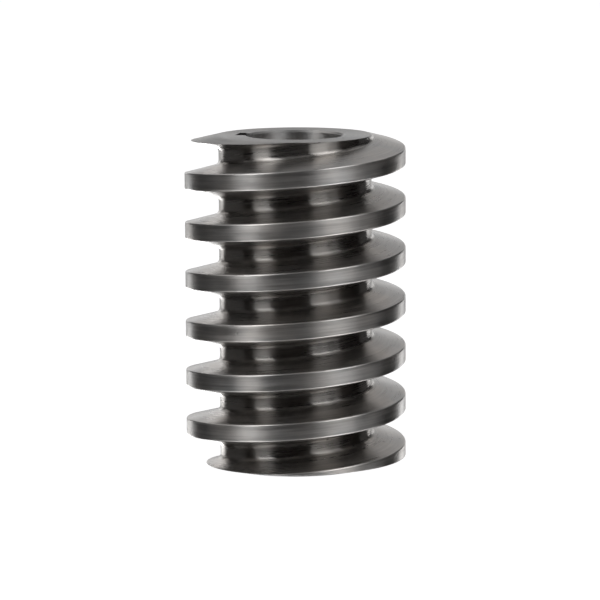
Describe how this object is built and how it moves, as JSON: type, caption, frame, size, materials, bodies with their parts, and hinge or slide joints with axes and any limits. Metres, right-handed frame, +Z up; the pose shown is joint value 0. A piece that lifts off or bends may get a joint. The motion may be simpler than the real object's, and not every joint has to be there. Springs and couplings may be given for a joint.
{
  "type": "worm",
  "caption": "Right-hand, single-start worm of dark turned steel: a helical thread of trapezoidal section round a sleeve with a keyed bore, which drives a worm wheel.",
  "frame": {"origin": "on the bore axis, in the plane of the lower end face", "axes": "+Z up along the bore axis, towards the other end face; +X and +Y across it, with the keyway pointing 168 degrees anticlockwise from +X seen from above"},
  "size_m": [0.0444, 0.0444, 0.0667],
  "materials": {
    "turned_steel": "turned and ground steel, oiled, satin, with fine marks that run round the axis"
  },
  "bodies": {
    "root": {"worm": "turned_steel"}
  },
  "joints": []
}
